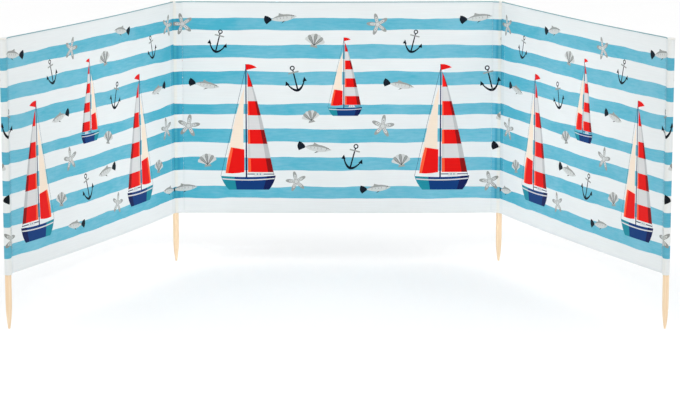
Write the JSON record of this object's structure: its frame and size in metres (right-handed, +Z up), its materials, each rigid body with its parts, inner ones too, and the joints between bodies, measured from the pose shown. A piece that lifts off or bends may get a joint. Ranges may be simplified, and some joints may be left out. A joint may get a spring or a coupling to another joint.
{
  "type": "beach windbreak",
  "caption": "Free-standing cloth windbreak in bays between pointed wooden poles, striped with a printed seaside motif, its side bays folded forward round the corner poles",
  "frame": {"origin": "centre of the flat tip of the left corner pole, the lower end that is driven into the ground", "axes": "+X along the centre bay from the left to the right corner pole, -Y to the sheltered side where the side bays come forward, +Z up along the poles"},
  "size_m": [2.2734, 1.1574, 1.001],
  "materials": {
    "wood": "smooth turned pale softwood, unvarnished",
    "panel_cloth": "plain-woven polyester, printed on one side, slightly see-through",
    "pocket_cloth": "the same printed polyester in two layers, sewn",
    "hem_cloth": "the same polyester folded over and stitched"
  },
  "bodies": {
    "centre_bay": {"centre_panel": "panel_cloth", "centre_top_hem": "hem_cloth", "centre_bottom_hem": "hem_cloth", "left_corner_pole": "wood", "left_corner_pocket": "pocket_cloth", "left_corner_pocket_top": "pocket_cloth", "right_corner_pole": "wood", "right_corner_pocket": "pocket_cloth", "right_corner_pocket_top": "pocket_cloth"},
    "left_bay": {"left_end_pole": "wood", "left_end_pocket": "pocket_cloth", "left_end_pocket_top": "pocket_cloth", "left_panel": "panel_cloth", "left_top_hem": "hem_cloth", "left_bottom_hem": "hem_cloth", "left_fold_seam": "hem_cloth"},
    "right_bay": {"right_end_pole": "wood", "right_end_pocket": "pocket_cloth", "right_end_pocket_top": "pocket_cloth", "right_panel": "panel_cloth", "right_top_hem": "hem_cloth", "right_bottom_hem": "hem_cloth", "right_fold_seam": "hem_cloth"}
  },
  "joints": [
    {"name": "left_bay_fold", "type": "hinge", "parent": "centre_bay", "child": "left_bay", "pos_m": [0, 0, 0], "axis": [0, 0, 1], "range_deg": [-184, 52]},
    {"name": "right_bay_fold", "type": "hinge", "parent": "centre_bay", "child": "right_bay", "pos_m": [1.24, 0, 0], "axis": [0, 0, -1], "range_deg": [-184, 52]}
  ]
}
